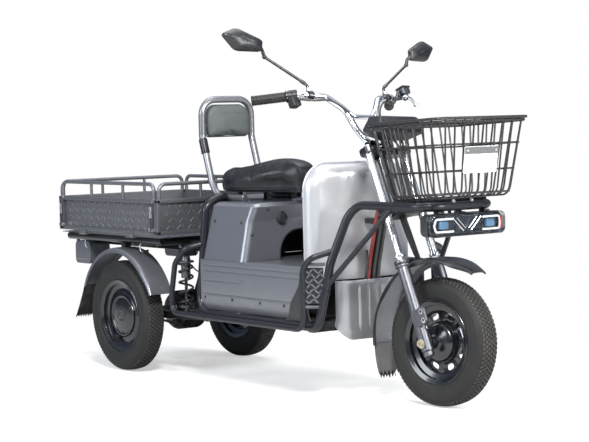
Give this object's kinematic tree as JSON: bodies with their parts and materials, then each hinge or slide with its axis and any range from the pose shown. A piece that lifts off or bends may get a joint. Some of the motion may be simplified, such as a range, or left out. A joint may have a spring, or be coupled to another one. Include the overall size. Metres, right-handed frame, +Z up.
{
  "type": "adult electric cargo tricycle",
  "caption": "Adult electric tricycle with a drop-side cargo bed, saddle with backrest, footwell, tube guards, front basket and single steered front wheel.",
  "frame": {"origin": "on the ground under the middle of the whole box", "axes": "+X forward, +Y to the rider's left, +Z up"},
  "size_m": [2.2134, 1.0184, 1.2783],
  "materials": {
    "body_grey": "satin metallic grey paint",
    "shield_silver": "gloss silver-grey paint",
    "tube_grey": "gloss dark grey paint",
    "panel_grey": "satin dark grey paint",
    "frame_black": "black paint",
    "wire_black": "gloss black coat",
    "chrome": "polished",
    "alloy": "satin",
    "plastic_black": "moulded black plastic",
    "tyre_rubber": "matte",
    "grip_rubber": "matte",
    "seat_black": "grained black cover",
    "pad_grey": "grained grey cover",
    "lamp_clear": "clear gloss",
    "lamp_box": "black",
    "plate_white": "bare white",
    "cable_black": "satin",
    "cable_red": "satin"
  },
  "bodies": {
    "chassis": {"main_frame": "frame_black", "bed_tray": "panel_grey", "seat_box": "body_grey", "leg_shield": "shield_silver", "front_apron": "body_grey", "floor_panel": "plastic_black", "battery_pack": "plastic_black", "side_skirt_right": "body_grey", "side_skirt_left": "body_grey", "side_guard_right": "tube_grey", "side_guard_left": "tube_grey", "front_hoop": "tube_grey", "basket": "wire_black", "basket_plate": "plate_white", "headlight": "lamp_clear", "backrest_frame": "tube_grey", "backrest_pad": "pad_grey", "rear_fender_right": "body_grey", "rear_fender_left": "body_grey", "tail_lamp_right": "lamp_box", "tail_lamp_left": "lamp_box", "rear_shock_right": "alloy", "rear_shock_left": "alloy", "rear_spring_right": "tube_grey", "rear_spring_left": "tube_grey", "main_harness": "cable_red"},
    "rear_swing_axle": {"rear_axle": "frame_black"},
    "rear_wheel_right": {"rear_rim_right": "frame_black", "rear_tyre_right": "tyre_rubber"},
    "rear_wheel_left": {"rear_rim_left": "frame_black", "rear_tyre_left": "tyre_rubber"},
    "steering": {"fork_upper": "chrome", "front_fender": "body_grey", "handlebar": "chrome", "grip_left": "grip_rubber", "switch_housing_right": "plastic_black", "master_cylinder_left": "alloy", "dash_display": "plastic_black", "mirror_stalk_right": "frame_black", "mirror_stalk_left": "frame_black", "control_cables": "cable_black"},
    "throttle": {"throttle_grip": "grip_rubber"},
    "brake_lever": {"brake_lever_left": "alloy"},
    "mirror_right": {"mirror_head_right": "plastic_black"},
    "mirror_left": {"mirror_head_left": "plastic_black"},
    "fork_sliders": {"fork_lower_right": "alloy", "fork_lower_left": "alloy", "front_axle": "alloy"},
    "front_wheel": {"front_rim": "frame_black", "front_tyre": "tyre_rubber"},
    "gate_right": {"side_gate_right": "panel_grey"},
    "gate_left": {"side_gate_left": "panel_grey"},
    "tail_gate": {"tailgate": "panel_grey"},
    "latch_front_right": {"gate_latch_front_right": "alloy"},
    "latch_rear_right": {"gate_latch_rear_right": "alloy"},
    "latch_front_left": {"gate_latch_front_left": "alloy"},
    "latch_rear_left": {"gate_latch_rear_left": "alloy"},
    "saddle_assembly": {"saddle": "seat_black", "saddle_pan": "plastic_black"},
    "charge_lid": {"charge_cover": "plastic_black"}
  },
  "joints": [
    {"name": "steering_turn", "type": "hinge", "parent": "chassis", "child": "steering", "pos_m": [0.83869, 0.00567, 0.216], "axis": [-0.3987, 0, 0.9171], "range_deg": [-45.5, 34.5]},
    {"name": "fork_travel", "type": "slide", "parent": "steering", "child": "fork_sliders", "axis": [-0.3987, 0, 0.9171], "range_m": [0, 0.045], "stiffness_N_per_m": 15000, "springref_m": -0.07},
    {"name": "front_wheel_spin", "type": "hinge", "parent": "fork_sliders", "child": "front_wheel", "pos_m": [0.88214, 0.0095, 0.21593], "axis": [-0.0879, 0.9954, -0.0382], "continuous": true},
    {"name": "rear_suspension", "type": "hinge", "parent": "chassis", "child": "rear_swing_axle", "pos_m": [-0.21769, 0.00567, 0.235], "axis": [0, 1, 0], "range_deg": [0, 2.5], "stiffness_Nm_per_rad": 8000, "springref_deg": -4.87, "deforming": ["rear_spring_right", "rear_spring_left"]},
    {"name": "rear_wheel_right_spin", "type": "hinge", "parent": "rear_swing_axle", "child": "rear_wheel_right", "pos_m": [-0.64769, -0.26983, 0.216], "axis": [0, 1, 0], "continuous": true},
    {"name": "rear_wheel_left_spin", "type": "hinge", "parent": "rear_swing_axle", "child": "rear_wheel_left", "pos_m": [-0.64769, 0.28117, 0.216], "axis": [0, 1, 0], "continuous": true},
    {"name": "throttle_twist", "type": "hinge", "parent": "steering", "child": "throttle", "pos_m": [0.43255, -0.21516, 1.05037], "axis": [-0.6523, -0.7516, -0.0984], "range_deg": [0, 70], "stiffness_Nm_per_rad": 0.4, "springref_deg": -20.05},
    {"name": "brake_lever_squeeze", "type": "hinge", "parent": "steering", "child": "brake_lever", "pos_m": [0.43676, 0.24883, 1.03663], "axis": [-0.3987, 0, 0.9171], "range_deg": [0, 20], "stiffness_Nm_per_rad": 4, "springref_deg": -11.46},
    {"name": "mirror_right_swivel", "type": "hinge", "parent": "steering", "child": "mirror_right", "pos_m": [0.39595, -0.34396, 1.18132], "axis": [-0.3987, 0, 0.9171], "range_deg": [-25, 25]},
    {"name": "mirror_left_swivel", "type": "hinge", "parent": "steering", "child": "mirror_left", "pos_m": [0.33513, 0.34485, 1.15488], "axis": [-0.3987, 0, 0.9171], "range_deg": [-25, 25]},
    {"name": "side_gate_right_fold", "type": "hinge", "parent": "chassis", "child": "gate_right", "pos_m": [-0.73119, -0.30433, 0.531], "axis": [1, 0, 0], "range_deg": [0, 120]},
    {"name": "latch_front_right_turn", "type": "hinge", "parent": "gate_right", "child": "latch_front_right", "pos_m": [-0.39469, -0.30963, 0.56], "axis": [1, 0, 0], "range_deg": [0, 90]},
    {"name": "latch_rear_right_turn", "type": "hinge", "parent": "gate_right", "child": "latch_rear_right", "pos_m": [-1.06769, -0.30963, 0.56], "axis": [1, 0, 0], "range_deg": [0, 90]},
    {"name": "side_gate_left_fold", "type": "hinge", "parent": "chassis", "child": "gate_left", "pos_m": [-0.73119, 0.31567, 0.531], "axis": [-1, 0, 0], "range_deg": [0, 120]},
    {"name": "latch_front_left_turn", "type": "hinge", "parent": "gate_left", "child": "latch_front_left", "pos_m": [-0.39469, 0.32097, 0.56], "axis": [-1, 0, 0], "range_deg": [0, 90]},
    {"name": "latch_rear_left_turn", "type": "hinge", "parent": "gate_left", "child": "latch_rear_left", "pos_m": [-1.06769, 0.32097, 0.56], "axis": [-1, 0, 0], "range_deg": [0, 90]},
    {"name": "tailgate_fold", "type": "hinge", "parent": "chassis", "child": "tail_gate", "pos_m": [-1.09969, 0.00567, 0.531], "axis": [0, -1, 0], "range_deg": [0, 125]},
    {"name": "saddle_tilt", "type": "hinge", "parent": "chassis", "child": "saddle_assembly", "pos_m": [0.10031, 0.00567, 0.686], "axis": [0, 1, 0], "range_deg": [0, 60]},
    {"name": "charge_lid_lift", "type": "hinge", "parent": "chassis", "child": "charge_lid", "pos_m": [0.12531, -0.07533, 0.634], "axis": [0, -1, 0], "range_deg": [0, 120]}
  ]
}
